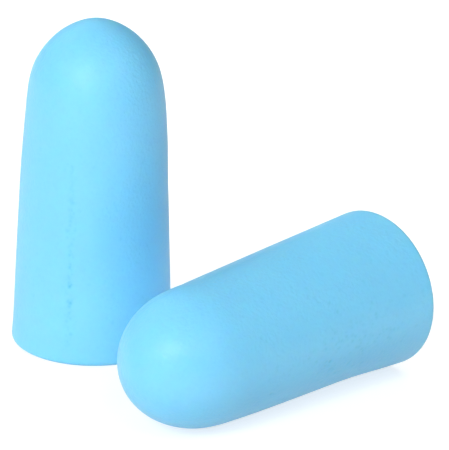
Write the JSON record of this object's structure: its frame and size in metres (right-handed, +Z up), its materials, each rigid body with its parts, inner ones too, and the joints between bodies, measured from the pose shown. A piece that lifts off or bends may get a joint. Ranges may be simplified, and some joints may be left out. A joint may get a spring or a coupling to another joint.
{
  "type": "foam ear plugs",
  "caption": "Uncorded bullet-shaped slow-recovery foam ear plugs: one standing on its flat base, its mate lying on its side in front.",
  "frame": {"origin": "centre of the standing plug's flat base, on the surface that both plugs rest on", "axes": "+Z up along the standing plug's axis, from its base to its tip; +X to the side, across the pair; +Y away from the lying plug"},
  "size_m": [0.0315, 0.0271, 0.025],
  "materials": {
    "foam": "soft closed-skin polyurethane foam, light blue all through, matte with a faint sheen and fine pores"
  },
  "bodies": {
    "standing": {"standing_plug": "foam"},
    "lying": {"lying_plug": "foam"}
  },
  "joints": [
    {"name": "lying_plug_lift", "type": "slide", "parent": "standing", "child": "lying", "axis": [0, 0, 1], "range_m": [0, 0.03]}
  ]
}
